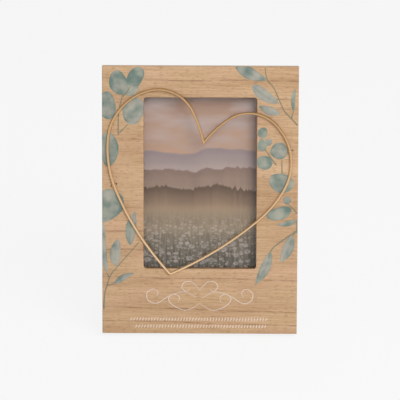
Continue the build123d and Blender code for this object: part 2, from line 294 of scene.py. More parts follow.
def oak_print(board):
    """Node group for the oak effect: a printed wood photograph, straight grained, with a few dark seams."""
    tree, put = new_group("oak_print", "ShaderNodeTree", {}, {"Colour": "Color", "Grain": "Float"})
    point = put("ShaderNodeMapping", {"Vector": board_point(put), "Rotation": (0, -GRAIN_SLOPE, 0)})
    # the foil is folded over the top and bottom edges, so there the grain steps on with the depth
    normal = put("ShaderNodeTexCoord").outputs["Normal"]
    folded = put(VECTOR, {0: normal, 1: UP}, "DOT_PRODUCT")
    folded = put(MATH, {0: folded}, "ABSOLUTE")
    folded = put(MATH, {0: folded, 1: EDGE_FACING}, "GREATER_THAN")
    depth = put(SEPARATE, {0: point}).outputs["Y"]
    folded = put(MATH, {0: folded, 1: depth}, "MULTIPLY")
    folded = put("ShaderNodeCombineXYZ", {"Z": folded})
    point = put(VECTOR, {0: point, 1: folded}, "ADD")
    drift = put(VECTOR, {0: point, 1: grain_scale(*DRIFT)}, "MULTIPLY")
    drift = put(NOISE, {"Vector": drift, "Scale": 1, "Detail": 1}).outputs["Color"]
    grain_point = put(VECTOR, {0: drift, 1: (0, 0, GRAIN_WAVE), 2: point}, "MULTIPLY_ADD")
    layers = []
    for start, size, detail, roughness in (
        (grain_point, (board.fibre_length, board.fibre_width), 4, 0.5),
        (grain_point, BANDS, 2, 0.5),
        (grain_point, PORES, 2, 0.5),
        (grain_point, ROSY_PATCHES, 1, 0.5),
        (point, SEAM_BREAKS, 4, 0.65),
    ):
        scaled = put(VECTOR, {0: start, 1: grain_scale(*size)}, "MULTIPLY")
        figure = {"Vector": scaled, "Scale": 1, "Detail": detail, "Roughness": roughness}
        layers.append(put(NOISE, figure))
    fibres, bands, pores, patches, breaks = layers
    tone = put(MATH, {0: bands, 1: BAND_SHARE}, "MULTIPLY")
    tone = put(MATH, {0: fibres, 1: 1 - BAND_SHARE, 2: tone}, "MULTIPLY_ADD")
    tone = put(RANGE, {"Value": tone, LOW: 0.36, HIGH: 0.64})
    rosy = put(RANGE, {"Value": patches, LOW: 0.4, HIGH: 0.65, TOP: 0.8})
    light = put(MIX, {0: rosy, 6: board.oak_light, 7: board.oak_blush})
    wood = put(MIX, {0: tone, 6: board.oak_dark, 7: light})
    flecks = put(RANGE, {"Value": pores, LOW: 0.53, HIGH: 0.74, TOP: 0.5})
    wood = put(MIX, {0: flecks, 6: wood, 7: board.oak_seam})
    place = put(SEPARATE, {0: grain_point}).outputs
    seams = 0
    for height, start, end in SEAMS:
        # the drift lifts the grain by half its reach
        gap = put(MATH, {0: place["Z"], 1: height + GRAIN_WAVE / 2}, "SUBTRACT")
        gap = put(MATH, {0: gap}, "ABSOLUTE")
        line = put(RANGE, {"Value": gap, LOW: SEAM_EDGE, HIGH: SEAM_CORE})
        for outer, inner in ((start, start + SEAM_END), (end, end - SEAM_END)):
            fade = put(RANGE, {"Value": place["X"], LOW: outer, HIGH: inner})
            line = put(MATH, {0: line, 1: fade}, "MULTIPLY")
        seams = put(MATH, {0: line, 1: seams}, "MAXIMUM")
    breaks = put(RANGE, {"Value": breaks, LOW: 0.36, HIGH: 0.56, TOP: SEAM_DEPTH})
    seams = put(MATH, {0: seams, 1: breaks}, "MULTIPLY")
    wood = put(MIX, {0: seams, 6: wood, 7: board.oak_seam})
    grain = put(MATH, {0: fibres, 1: seams}, "SUBTRACT")
    put("NodeGroupOutput", {"Colour": wood, "Grain": grain})
    return tree


def oak_effect_fibreboard(board, oak):
    """Printed oak-effect foil on fibreboard, satin; bare brown board on the rear and in the rebate."""
    material, put = new_material("oak_effect_fibreboard")
    point = board_point(put)
    place = put(SEPARATE, {0: point}).outputs
    foil = put("ShaderNodeGroup", node_tree=oak).outputs
    normal = put("ShaderNodeTexCoord").outputs["Normal"]
    rear = put(VECTOR, {0: normal, 1: REAR}, "DOT_PRODUCT")
    rear = put(MATH, {0: rear, 1: REAR_FACING}, "GREATER_THAN")
    bare = put(MATH, {0: place["Y"], 1: FRONT_EASE}, "GREATER_THAN")
    middle = (WINDOW_FOOT + WINDOW_HEAD) / 2
    reach = (WINDOW_HEAD - WINDOW_FOOT) / 2 + REBATE_SIDE - WINDOW_SIDE
    for axis, centre, half in (("X", 0, REBATE_SIDE), ("Z", middle, reach)):
        inside = put(MATH, {0: place[axis], 1: centre, 2: half}, "COMPARE")
        bare = put(MATH, {0: bare, 1: inside}, "MULTIPLY")
    bare = put(MATH, {0: bare, 1: rear}, "MAXIMUM")
    specks = put(NOISE, {"Vector": point, "Scale": 1 / SPECK, "Detail": 4, "Roughness": 0.75})
    specks = put(RANGE, {"Value": specks, **NOISE_RANGE, BOTTOM: 0.78, TOP: 1.12})
    fibre = put(MIX, {0: 1, 6: board.bare_board, 7: specks}, blend_type="MULTIPLY")
    colour = put(MIX, {0: bare, 6: foil["Colour"], 7: fibre})
    bump = put("ShaderNodeBump", {**FOIL_RELIEF, "Height": foil["Grain"]})
    surface = put(SURFACE, {"Base Color": colour, **SATIN, "Normal": bump})
    put(OUTPUT, {"Surface": surface})
    return material


# Heights on the board, in mm, between which the heart's gold goes from pale to deep: painted light, paler
# below for the brighter reflections of the lower wire
PALE_BELOW = 60
DEEP_ABOVE = 175


def plated_steel(name, colour, roughness, patch, detail, spread, painted_light_colour=None):
    """Plated steel, satin, duller in patches of a size in mm; it may grow paler towards the heart's tip, as
    painted light.
    """
    material, put = new_material(name)
    point = board_point(put)
    # painted light: the gold is mixed paler towards the tip, standing in for the brighter reflections on the
    # lower wire
    if painted_light_colour:
        height = put(SEPARATE, {0: point}).outputs["Z"]
        deep = put(RANGE, {"Value": height, LOW: PALE_BELOW, HIGH: DEEP_ABOVE})
        colour = put(MIX, {0: deep, 6: painted_light_colour, 7: colour})
    patches = put(NOISE, {"Vector": point, "Scale": 1 / patch, "Detail": detail})
    sheen = {BOTTOM: roughness - spread[0], TOP: roughness + spread[1]}
    rough = put(RANGE, {"Value": patches, **NOISE_RANGE, **sheen})
    surface = put(SURFACE, {"Base Color": colour, "Metallic": 1, "Roughness": rough})
    put(OUTPUT, {"Surface": surface})
    return material


def float_glass():
    """Clear float glass, polished; light from the lamps passes straight through to the print."""
    material, put = new_material("float_glass")
    polished = {"Base Color": linear("#FCFDFD"), "Roughness": 0, "IOR": 1.5, "Transmission Weight": 1}
    surface = put(SURFACE, polished)
    clear = put("ShaderNodeBsdfTransparent")
    ray = put("ShaderNodeLightPath").outputs
    lamp = put(MATH, {0: ray["Is Shadow Ray"], 1: ray["Is Diffuse Ray"]}, "MAXIMUM")
    mixed = put("ShaderNodeMixShader", {0: lamp, 1: surface, 2: clear})
    put(OUTPUT, {"Surface": mixed})
    return material


# The picture, in mm on the board. Sky: height of the horizon, length and height of a cloud, and colours
HORIZON = 150
CLOUD = (52, 17)
SKY_LOW, SKY_HIGH, CLOUD_COLOUR = linear("#DDB396"), linear("#B3917F"), linear("#D3C2BF")
# Ridges from far to near: crest height, rise and length, height of the trees on it, crest and foot colours
RIDGES = (
    (158, 9, 46, 0, "#B09C9C", "#D3BDB3"),
    (141, 10, 38, 2.5, "#A08477", "#CFB09C"),
    (122, 8, 52, 7, "#7E6450", "#C2A184"),
)
# Step along the pattern from ridge to ridge, so that no two have the same line
RIDGE_STEP = 3.7
TREE_SPACING = 2.6
CREST_BLUR = 0.6
# Depth below a crest where its mist starts and is full
MIST = (2, 22)
# Meadow: its top, the depth over which it fades in, width and height of a blade, and colours
MEADOW_TOP = 112
MEADOW_FADE = 9
BLADE = (1.4, 15)
GRASS_FAR, GRASS_NEAR, BLADE_COLOUR = linear("#C8AC8C"), linear("#8A897C"), linear("#685C4F")
# Daisies, far to near: spacing, share of the places that hold one, blur, petal colour, and the heights
# between which they fade in
DAISIES = (
    (3.2, 0.5, 0.3, "#D2C3B8", 104, 98),
    (5.6, 0.45, 0.4, "#DCCDC6", 94, 84),
    (9.5, 0.4, 0.55, "#E4D8D6", 82, 70),
)
PETALS = 8
# As shares of the spacing: a daisy's least and greatest radius, its petals' depth, its eye's edge and core
DAISY_LEAST, DAISY_MOST = 0.2, 0.36
PETAL_DEPTH = 0.05
EYE_EDGE, EYE_CORE = 0.12, 0.06
EYE_COLOUR = linear("#B8996F")
# Blossoms are seen aslant, so they are lower than wide
ASLANT = 0.7


def photo_paper():
    """Coated photo paper with a soft picture of wooded ridges and a daisy meadow at dusk."""
    material, put = new_material("photo_paper")
    point = board_point(put)
    place = put(SEPARATE, {0: point}).outputs
    x, z = place["X"], place["Z"]
    flat = put("ShaderNodeCombineXYZ", {"X": x, "Y": z})
    # sky: warm at the horizon and duller above, with long pale clouds
    height = put(RANGE, {"Value": z, LOW: HORIZON, HIGH: WINDOW_HEAD})
    picture = put(MIX, {0: height, 6: SKY_LOW, 7: SKY_HIGH})
    clouds = put(VECTOR, {0: point, 1: (1 / CLOUD[0], 1, 1 / CLOUD[1])}, "MULTIPLY")
    clouds = put(NOISE, {"Vector": clouds, "Scale": 1, "Detail": 5})
    cover = put(RANGE, {"Value": clouds, LOW: 0.42, HIGH: 0.66, TOP: 0.9})
    picture = put(MIX, {0: cover, 6: picture, 7: CLOUD_COLOUR})
    # ridges: a wandering crest with trees on it, paler in the mist at its foot
    for number, (crest, rise, length, trees, top, foot) in enumerate(RIDGES):
        start = RIDGE_STEP * number
        along = put(MATH, {0: x, 1: 1 / length, 2: start}, "MULTIPLY_ADD")
        line = put(NOISE, {"W": along, "Scale": 1, "Detail": 4}, noise_dimensions="1D")
        line = put(MATH, {0: line, 1: 2 * rise, 2: crest - rise}, "MULTIPLY_ADD")
        along = put(MATH, {0: x, 1: 1 / TREE_SPACING, 2: number}, "MULTIPLY_ADD")
        tips = put(NOISE, {"W": along, "Scale": 1, "Detail": 3}, noise_dimensions="1D")
        line = put(MATH, {0: tips, 1: trees, 2: line}, "MULTIPLY_ADD")
        below = put(MATH, {0: line, 1: z}, "SUBTRACT")
        cover = put(RANGE, {"Value": below, LOW: -CREST_BLUR, HIGH: CREST_BLUR})
        mist = put(RANGE, {"Value": below, LOW: MIST[0], HIGH: MIST[1]})
        slope = put(MIX, {0: mist, 6: linear(top), 7: linear(foot)})
        picture = put(MIX, {0: cover, 6: picture, 7: slope})
    # meadow: dry grass far off, sage and brown blades near the front
    near = put(RANGE, {"Value": z, LOW: MEADOW_TOP, HIGH: WINDOW_FOOT})
    grass = put(MIX, {0: near, 6: GRASS_FAR, 7: GRASS_NEAR})
    blades = put(VECTOR, {0: flat, 1: (1 / BLADE[0], 1 / BLADE[1], 0)}, "MULTIPLY")
    blades = put(NOISE, {"Vector": blades, "Scale": 1, "Detail": 3, "Distortion": 0.6})
    blades = put(RANGE, {"Value": blades, LOW: 0.35, HIGH: 0.62})
    blades = put(MATH, {0: blades, 1: near}, "MULTIPLY")
    grass = put(MIX, {0: blades, 6: grass, 7: BLADE_COLOUR})
    cover = put(RANGE, {"Value": z, LOW: MEADOW_TOP, HIGH: MEADOW_TOP - MEADOW_FADE})
    picture = put(MIX, {0: cover, 6: picture, 7: grass})
    # daisies: petals about the middle of each cell, with an ochre eye
    field = put(VECTOR, {0: flat, 1: (1, 1 / ASLANT, 0)}, "MULTIPLY")
    for spacing, share, blur, petal, start, full in DAISIES:
        cells = {"Vector": field, "Scale": 1 / spacing, "Randomness": 0.95}
        cells = put("ShaderNodeTexVoronoi", cells, voronoi_dimensions="2D").outputs
        away = put(VECTOR, {0: field, 1: cells["Position"]}, "SUBTRACT")
        reach = put(VECTOR, {0: away}, "LENGTH")
        away = put(SEPARATE, {0: away}).outputs
        turn = put(MATH, {0: away["Y"], 1: away["X"]}, "ARCTAN2")
        turn = put(MATH, {0: turn, 1: PETALS}, "MULTIPLY")
        turn = put(MATH, {0: turn}, "COSINE")
        chance = put("ShaderNodeSeparateColor", {0: cells["Color"]}).outputs
        size = {"Value": chance["Green"], BOTTOM: DAISY_LEAST * spacing, TOP: DAISY_MOST * spacing}
        size = put(RANGE, size)
        rim = put(MATH, {0: turn, 1: PETAL_DEPTH * spacing, 2: size}, "MULTIPLY_ADD")
        rim = put(MATH, {0: rim, 1: reach}, "SUBTRACT")
        pale = put(RANGE, {"Value": chance["Blue"], BOTTOM: 0.4, TOP: 0.9})
        cover = put(RANGE, {"Value": rim, LOW: -blur, HIGH: blur, TOP: pale})
        held = put(MATH, {0: chance["Red"], 1: share}, "LESS_THAN")
        near = put(RANGE, {"Value": z, LOW: start, HIGH: full})
        for part in (held, near):
            cover = put(MATH, {0: cover, 1: part}, "MULTIPLY")
        eye = put(RANGE, {"Value": reach, LOW: EYE_EDGE * spacing, HIGH: EYE_CORE * spacing})
        flower = put(MIX, {0: eye, 6: linear(petal), 7: EYE_COLOUR})
        picture = put(MIX, {0: cover, 6: picture, 7: flower})
    surface = put(SURFACE, {"Base Color": picture, "Roughness": 0.6, "Specular IOR Level": 0})
    put(OUTPUT, {"Surface": surface})
    return material


# Flecks of pressed fibre are about 0.3 mm wide; they are drawn coarser so that they show
FLECK_WIDTH = 1.6
# Size of its broader clouds in mm, and the share of the tone that the flecks give
FIBRE_CLOUD = 25
FLECK_SHARE = 0.6


def pressed_fibre(name, colour, fleck_length, roughness):
    """Pressed wood fibre: an even brown or grey with fine pale and dark flecks."""
    material, put = new_material(name)
    point = board_point(put)
    flecks = put(VECTOR, {0: point, 1: (1 / fleck_length, 1 / FLECK_WIDTH, 1 / FLECK_WIDTH)}, "MULTIPLY")
    flecks = put(NOISE, {"Vector": flecks, "Scale": 1, "Detail": 5, "Roughness": 0.7})
    clouds = put(NOISE, {"Vector": point, "Scale": 1 / FIBRE_CLOUD, "Detail": 2})
    tone = put(MATH, {0: flecks, 1: FLECK_SHARE}, "MULTIPLY")
    tone = put(MATH, {0: clouds, 1: 1 - FLECK_SHARE, 2: tone}, "MULTIPLY_ADD")
    tone = put(RANGE, {"Value": tone, **NOISE_RANGE, BOTTOM: 0.7, TOP: 1.25})
    fibre = put(MIX, {0: 1, 6: colour, 7: tone}, blend_type="MULTIPLY")
    bump = put("ShaderNodeBump", {"Strength": 0.2, "Distance": 0.1 * MM, "Height": flecks})
    surface = put(SURFACE, {"Base Color": fibre, **SATIN, "Roughness": roughness, "Normal": bump})
    put(OUTPUT, {"Surface": surface})
    return material


# What each point of a leaf knows: its place across and along the leaf, depth of wash, strength of the ribs
LEAF_MARKS = ("across", "along", "wash", "rib")
# Pools and blooms of the wash, grit of the foil under it, and dry patches of a pen line, in mm
POOL = 9
BLOOM = 12
GRIT = 0.8
DRY_PATCH = 1.5
# How far pools change the depth of a wash, and how much thinner a dry patch is
POOL_SWING = 2.6
DRYNESS = 0.2
# Side veins on a leaf's length, and how far they sweep back towards its edge
VEINS = 7
VEIN_SWEEP = 0.9


def watercolour_print(sprigs, oak):
    """Printed watercolour: a thin sage wash over the oak, darker where it pooled and along the veins."""
    material, put = new_material("watercolour_print")
    point = board_point(put)
    foil = put("ShaderNodeGroup", node_tree=oak).outputs
    marks = [put("ShaderNodeAttribute", attribute_name=mark).outputs["Fac"] for mark in LEAF_MARKS]
    across, along, wash, ribbed = marks
    aside = put(MATH, {0: across}, "ABSOLUTE")
    pools = put(NOISE, {"Vector": point, "Scale": 1 / POOL, "Detail": 2})
    tone = put(MATH, {0: pools, 1: POOL_SWING, 2: -POOL_SWING / 2}, "MULTIPLY_ADD")
    tone = put(MATH, {0: tone, 1: wash}, "ADD")
    rim = put(RANGE, {"Value": aside, LOW: 0.7, HIGH: 1, TOP: 0.4})
    rib = put(RANGE, {"Value": aside, LOW: 0.1, HIGH: 0.02, TOP: 0.4})
    sway = put(MATH, {0: aside, 1: -VEIN_SWEEP}, "MULTIPLY")
    sway = put(MATH, {0: along, 1: VEINS, 2: sway}, "MULTIPLY_ADD")
    sway = put(MATH, {0: sway, 1: 1}, "PINGPONG")
    veins = put(RANGE, {"Value": sway, LOW: 0.16, HIGH: 0, TOP: 0.18})
    halves = put(RANGE, {"Value": across, LOW: -0.2, HIGH: 0.2, BOTTOM: -0.12, TOP: 0.12})
    for line in (rib, veins, halves):
        tone = put(MATH, {0: line, 1: ribbed, 2: tone}, "MULTIPLY_ADD")
    tone = put(MATH, {0: tone, 1: rim}, "ADD", use_clamp=True)
    paint = put(MIX, {0: tone, 6: sprigs.sage, 7: sprigs.teal})
    # blooms: pale patches where a drop of water pushed the pigment aside
    blooms = put(NOISE, {"Vector": point, "Scale": 1 / BLOOM, "Detail": 1.5})
    blooms = put(RANGE, {"Value": blooms, LOW: 0.45, HIGH: 0.7, TOP: 0.5})
    paint = put(MIX, {0: blooms, 6: paint, 7: sprigs.bloom})
    grit = put(NOISE, {"Vector": point, "Scale": 1 / GRIT, "Detail": 2})
    cover = put(RANGE, {"Value": grit, **NOISE_RANGE, BOTTOM: 0.86, TOP: 0.98})
    colour = put(MIX, {0: cover, 6: foil["Colour"], 7: paint})
    bump = put("ShaderNodeBump", {**FOIL_RELIEF, "Height": foil["Grain"]})
    surface = put(SURFACE, {"Base Color": colour, **SATIN, "Normal": bump})
    put(OUTPUT, {"Surface": surface})
    return material


def line_print(name, ink, cover, oak):
    """Printed line ink: it lets the oak's grain through and is thinner here and there, as a dry pen is."""
    material, put = new_material(name)
    foil = put("ShaderNodeGroup", node_tree=oak).outputs
    dry = put(NOISE, {"Vector": board_point(put), "Scale": 1 / DRY_PATCH, "Detail": 2})
    cover = put(RANGE, {"Value": dry, **NOISE_RANGE, BOTTOM: cover - DRYNESS, TOP: cover})
    colour = put(MIX, {0: cover, 6: foil["Colour"], 7: ink})
    surface = put(SURFACE, {"Base Color": colour, **SATIN})
    put(OUTPUT, {"Surface": surface})
    return material


# Printed pieces, drawn in mm on the board's face from the middle of its bottom edge

# Outline of a leaf's half: t ** rise * (1 - t) ** fall, with t from its base to its tip
LEAF_FORMS = {"coin": (0.5, 0.5), "egg": (0.4, 0.75), "lance": (0.75, 0.95), "spoon": (0.85, 0.62)}
# How strongly the midrib and veins of each form show
LEAF_RIBS = {"coin": 0.12, "egg": 0.3, "lance": 1, "spoon": 0.8}
# Base, tip, greatest width, form and depth of wash of each leaf
LEAVES = (
    ((-65.8, 206.6), (-72.6, 227.2), 15.2, "coin", 0.55),
    ((-59.6, 212.2), (-50.3, 229.6), 13.2, "coin", 0.95),
    ((-63.2, 206.4), (-52.2, 212.9), 8.0, "lance", 0.49),
    ((-77.3, 185.4), (-80.8, 209.3), 15.5, "coin", 0.57),
    ((-60.4, 181.3), (-52.3, 203.6), 18.0, "coin", 0.34),
    ((-79.5, 175.0), (-78.5, 145.0), 15.0, "coin", 0.57),
    ((-74.5, 124.8), (-83.0, 96.5), 22.5, "egg", 0.49),
    ((-60.0, 77.0), (-55.6, 106.5), 9.0, "lance", 0.38),
    ((-72.6, 58.6), (-70.3, 83.0), 9.5, "lance", 0.05),
    ((-79.8, 52.4), (-82.6, 98.0), 6.0, "lance", 0.31),
    ((-74.0, 43.1), (-56.5, 52.9), 5.2, "lance", 0.5),
    ((56.5, 219.5), (29.5, 233.0), 10.0, "spoon", 0.35),
    ((66.8, 199.8), (44.4, 215.0), 9.6, "spoon", 0.08),
    ((68.3, 190.9), (49.6, 197.6), 7.0, "lance", 0.38),
    ((79.6, 193.3), (80.6, 211.8), 3.5, "coin", 0.95),
    ((53.8, 169.8), (53.9, 179.0), 8.2, "coin", 0.95),
    ((53.6, 158.6), (52.6, 169.8), 7.6, "egg", 0.95),
    ((55.3, 164.3), (61.4, 167.9), 6.0, "coin", 0.16),
    ((69.0, 151.8), (67.0, 166.0), 14.3, "coin", 0.59),
    ((62.0, 148.5), (48.5, 150.0), 12.0, "coin", 0.9),
    ((80.5, 129.5), (59.3, 134.6), 16.5, "coin", 0.52),
    ((73.5, 113.0), (76.5, 119.5), 6.5, "coin", 0.37),
    ((78.3, 108.7), (57.0, 102.8), 11.0, "coin", 0.77),
    ((83.5, 99.0), (66.0, 95.0), 4.5, "lance", 0.61),
    ((79.3, 86.0), (69.4, 62.2), 9.3, "lance", 0.22),
    ((61.2, 71.9), (47.9, 42.9), 8.4, "lance", 0.35),
)
LEAF_ROWS = 18
LEAF_COLUMNS = 8
# A leaf bends aside by this share of its length
LEAF_BEND = 0.05
# Its outline wavers by this share of its width, over these radians and from a start of its own
LEAF_WAVER = 0.03
WAVER_RUN = 9
WAVER_START = 7
# Each leaf lies this much above the one before, so that crossing leaves don't flicker
LEAF_STEP = 0.004
# Room to the board's and the window's edges, and how far ink sinks into the foil
EDGE_ROOM = 0.1
SINK = 0.03

# Points along each stem, from its foot
STEMS = (
    ((-70.0, 172.1), (-69.6, 191.0), (-66.3, 207.3)),
    ((-68.9, 173.9), (-62.1, 181.1)),
    ((-66.3, 205.0), (-62.5, 209.0), (-60.4, 212.9)),
    ((-82.6, 20.8), (-82.0, 34.0), (-79.8, 41.9), (-77.6, 48.9), (-72.9, 55.9), (-52.2, 79.6)),
    ((-77.6, 48.9), (-80.2, 52.4)),
    ((-79.8, 41.9), (-74.0, 43.1)),
    ((83.1, 180.9), (78.1, 186.5), (72.4, 192.3), (68.6, 199.7), (62.9, 212.2), (56.8, 220.5), (55.0, 231.0)),
    ((77.9, 186.5), (79.6, 193.5)),
    ((65.1, 146.8), (54.6, 161.4)),
    ((70.2, 139.0), (70.0, 151.3)),
    ((83.2, 105.0), (80.8, 108.5), (75.0, 113.5)),
    ((83.3, 88.0), (83.2, 100.0)),
    ((83.2, 89.9), (67.4, 78.9), (61.4, 72.9), (59.0, 66.0)),
    ((83.0, 89.5), (79.3, 85.5)),
)
# A stem's height above the face, thickness, spacing of points, loss of width to its tip, and cover of ink
STEM_LIFT = 0.1
STEM_FILM = 0.2
STEM_SPACING = 1.2
STEM_TAPER = 0.45
STEM_COVER = 0.95

# Strokes of the flourish's right half, from its middle; the left half mirrors them
FLOURISH_HEIGHT = 31.0
FLOURISH = (
    ((2, 0), (13, 5.5), (26, 2), (37, -4.5), (44.5, -2), (45.5, 4.5), (40, 8), (36, 4.5), (38, 1)),
    ((0, -4.5), (11, -10.5), (22, -7), (27, -1), (23, 3.5), (17.5, 1), (18.5, -3.5)),
    ((0, 7), (6.5, 14), (13, 14), (15.5, 9.5), (12, 6), (8.5, 8)),
)
# A stroke's thickness, spacing of points, width at its ends, gain of width at its middle, and cover of ink
STROKE_FILM = 0.12
STROKE_SPACING = 0.7
STROKE_ENDS = 0.6
STROKE_SWELL = 0.7
PALE_COVER = 0.85

# Rows of small seeds below the flourish: height, left end and right end
SEED_ROWS = ((12.6, -59.0, 57.5), (6.4, -54.7, 56.0))
SEED_LENGTH = 3.3
SEED_WIDTH = 1.0
SEED_SIDES = 12
# Slant of the seeds, and how far each may turn from it, in radians
SEED_SLANT = math.radians(20)
SEED_SWING = 0.2


def fall_away(x, y):
    """How far the board's face falls away at a point, near its eased edges."""
    room = min(BOARD_WIDTH / 2 - abs(x), y, BOARD_HEIGHT - y)
    if WINDOW_FOOT < y < WINDOW_HEAD:
        room = min(room, abs(x) - WINDOW_SIDE)
    short = min(max(0, FRONT_EASE - room), FRONT_EASE)
    return FRONT_EASE - math.sqrt(FRONT_EASE**2 - short**2)


def print_on_board(name, mesh, material):
    """Lay a drawn mesh on the board's face as a piece that rides with the frame."""
    for vertex in mesh.vertices:
        vertex.co.z -= fall_away(vertex.co.x, vertex.co.y)
    mesh.transform(DRAWING)
    mesh.materials.clear()
    mesh.materials.append(material)
    piece = bpy.data.objects.new(name, mesh)
    bpy.context.scene.collection.objects.link(piece)
    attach(piece, "frame")


def draw_leaf(sheet, leaf, height):
    """Add one closed leaf to a bmesh, cut at the board's edges and at the window's side."""
    base, tip, width, form, wash = leaf
    base, tip = Vector(base), Vector(tip)
    axis = tip - base
    side = Vector((-axis.y, axis.x)).normalized()
    rise, fall = LEAF_FORMS[form]
    peak = rise / (rise + fall)
    full = peak**rise * (1 - peak) ** fall
    marks = [sheet.verts.layers.float[key] for key in LEAF_MARKS]
    rows = []
    for row in range(LEAF_ROWS + 1):
        t = (1 - math.cos(math.pi * row / LEAF_ROWS)) / 2
        half = width / 2 * t**rise * (1 - t) ** fall / full
        half *= 1 + LEAF_WAVER * math.sin(WAVER_RUN * t + WAVER_START * wash)
        spine = base + axis * t + side * LEAF_BEND * axis.length * math.sin(math.pi * t)
        # base and tip are one point each
        whole = 0 < row < LEAF_ROWS
        line = []
        for column in range(LEAF_COLUMNS + 1 if whole else 1):
            share = 2 * column / LEAF_COLUMNS - 1 if whole else 0
            place = spine + side * half * share
            vertex = sheet.verts.new((place.x, place.y, height))
            for mark, value in zip(marks, (share, t, wash, LEAF_RIBS[form])):
                vertex[mark] = value
            line.append(vertex)
        rows.append(line if whole else line * (LEAF_COLUMNS + 1))
    geometry = [vertex for line in rows for vertex in line]
    inward = [vertex.co.y for vertex in geometry if abs(vertex.co.x) < WINDOW_SIDE + FRONT_EASE]
    for lower, upper in zip(rows, rows[1:]):
        for column in range(LEAF_COLUMNS):
            corners = (lower[column], lower[column + 1], upper[column + 1], upper[column])
            face = sheet.faces.new(list(dict.fromkeys(corners)))
            geometry += [face, *face.edges]
    geometry = list(dict.fromkeys(geometry))
    cuts = [(BOARD_WIDTH / 2, Vector((1, 0, 0))), (BOARD_WIDTH / 2, Vector((-1, 0, 0)))]
    cuts.append((BOARD_HEIGHT, Vector((0, 1, 0))))
    if any(WINDOW_FOOT < level < WINDOW_HEAD for level in inward):
        toward = -1 if base.x > 0 else 1
        cuts.append((-WINDOW_SIDE, Vector((toward, 0, 0))))
    for reach, outward in cuts:
        for inset in (FRONT_EASE, FRONT_EASE / 3, EDGE_ROOM):
            plane = {"plane_co": outward * (reach - inset), "plane_no": outward}
            kept = bmesh.ops.bisect_plane(sheet, geom=geometry, **plane, clear_outer=inset == EDGE_ROOM)
            geometry = [part for part in kept["geom"] if part.is_valid]
    faces = [part for part in geometry if isinstance(part, bmesh.types.BMFace)]
    below = bmesh.ops.extrude_face_region(sheet, geom=faces, use_keep_orig=True)["geom"]
    for part in below:
        if isinstance(part, bmesh.types.BMVert):
            part.co.z = -SINK


def stroke_tree():
    """Geometry Nodes tree that draws flat pen strokes along a mesh's lines; stems and flourish share it."""
    tree = bpy.data.node_groups.get("pen_strokes")
    if tree:
        return tree
    sizes = dict.fromkeys(("Width", "Film", "Spacing"), "Float")
    inputs = {"Lines": "Geometry", **sizes, "Ink": "Material"}
    tree, put = new_group("pen_strokes", "GeometryNodeTree", inputs, {"Strokes": "Geometry"})
    given = put("NodeGroupInput").outputs
    line = put("GeometryNodeMeshToCurve", {"Mesh": given["Lines"]})
    line = put("GeometryNodeCurveSplineType", {"Curve": line}, spline_type="CATMULL_ROM")
    line = put("GeometryNodeResampleCurve", {"Curve": line, "Length": given["Spacing"]}, mode="LENGTH")
    line = put("GeometryNodeSetCurveNormal", {"Curve": line}, mode="Z_UP")
    nib = put("GeometryNodeCurvePrimitiveQuadrilateral", {"Width": given["Width"], "Height": given["Film"]})
    swell = put("GeometryNodeInputNamedAttribute", {"Name": "swell"}, data_type="FLOAT")
    drawn = {"Curve": line, "Profile Curve": nib, "Scale": swell, "Fill Caps": True}
    drawn = put("GeometryNodeCurveToMesh", drawn)
    drawn = put("GeometryNodeRealizeInstances", {"Geometry": drawn})
    drawn = put("GeometryNodeSetMaterial", {"Geometry": drawn, "Material": given["Ink"]})
    put("NodeGroupOutput", {"Strokes": drawn})
    return tree


def seed_tree():
    """Geometry Nodes tree that sets a row of slanted oval seeds, each a little different from the next."""
    sizes = dict.fromkeys(("Start", "Step", "Seed Size", "Least Turn", "Most Turn"), "Vector")
    inputs = {"Row": "Geometry", "Count": "Int", **sizes, "Ink": "Material"}
    tree, put = new_group("seed_row", "GeometryNodeTree", inputs, {"Seeds": "Geometry"})
    given = put("NodeGroupInput").outputs
    row = {"Count": given["Count"], "Start Location": given["Start"], "Offset": given["Step"]}
    row = put("GeometryNodeMeshLine", row)
    seed = put("GeometryNodeMeshCylinder", {"Vertices": SEED_SIDES, "Radius": 0.5, "Depth": 1})
    turn = {"Min": given["Least Turn"], "Max": given["Most Turn"], "Seed": 4}
    turn = put("FunctionNodeRandomValue", turn, data_type="FLOAT_VECTOR")
    row = {"Points": row, "Instance": seed, "Rotation": turn, "Scale": given["Seed Size"]}
    row = put("GeometryNodeInstanceOnPoints", row)
    row = put("GeometryNodeRealizeInstances", {"Geometry": row})
    row = put("GeometryNodeSetMaterial", {"Geometry": row, "Material": given["Ink"]})
    put("NodeGroupOutput", {"Seeds": row})
    return tree


def grow(name, mesh, tree, **sizes):
    """Plain mesh that a Geometry Nodes tree makes of a mesh, with its named sizes."""
    draft = bpy.data.objects.new(name, mesh)
    bpy.context.scene.collection.objects.link(draft)
    modifier = draft.modifiers.new(name, "NODES")
    modifier.node_group = tree
    for socket in tree.interface.items_tree:
        if socket.in_out == "INPUT" and socket.name in sizes:
            modifier[socket.identifier] = sizes[socket.name]
    seen = draft.evaluated_get(bpy.context.evaluated_depsgraph_get())
    grown = bpy.data.meshes.new_from_object(seen)
    draft.modifiers.remove(modifier)
    bpy.data.objects.remove(draft)
    if not grown.polygons:
        raise RuntimeError(f"{name} came out empty")
    grown.name = name
    return grown


def line_mesh(name, lines, height):
    """Mesh of open lines at a height, each point with the swell of the pen there."""
    mesh = bpy.data.meshes.new(name)
    points = []
    edges = []
    swells = []
    for line, swell in lines:
        first = len(points)
        points += [(x, y, height) for x, y in line]
        edges += [(first + place, first + place + 1) for place in range(len(line) - 1)]
        swells += [swell(place / (len(line) - 1)) for place in range(len(line))]
    mesh.from_pydata(points, edges, [])
    mesh.attributes.new("swell", "FLOAT", "POINT").data.foreach_set("value", swells)
    return mesh


# Operators


class PHOTOFRAME_OT_board(bpy.types.Operator):
    """Finish the face board with its oak-effect print"""

    bl_idname = "photo_frame.board"
    bl_label = "Face board"

    def execute(self, context):
        board = context.scene.photo_frame.board
        dress(oak_effect_fibreboard(board, oak_print(board)), "face_board")
        return {"FINISHED"}


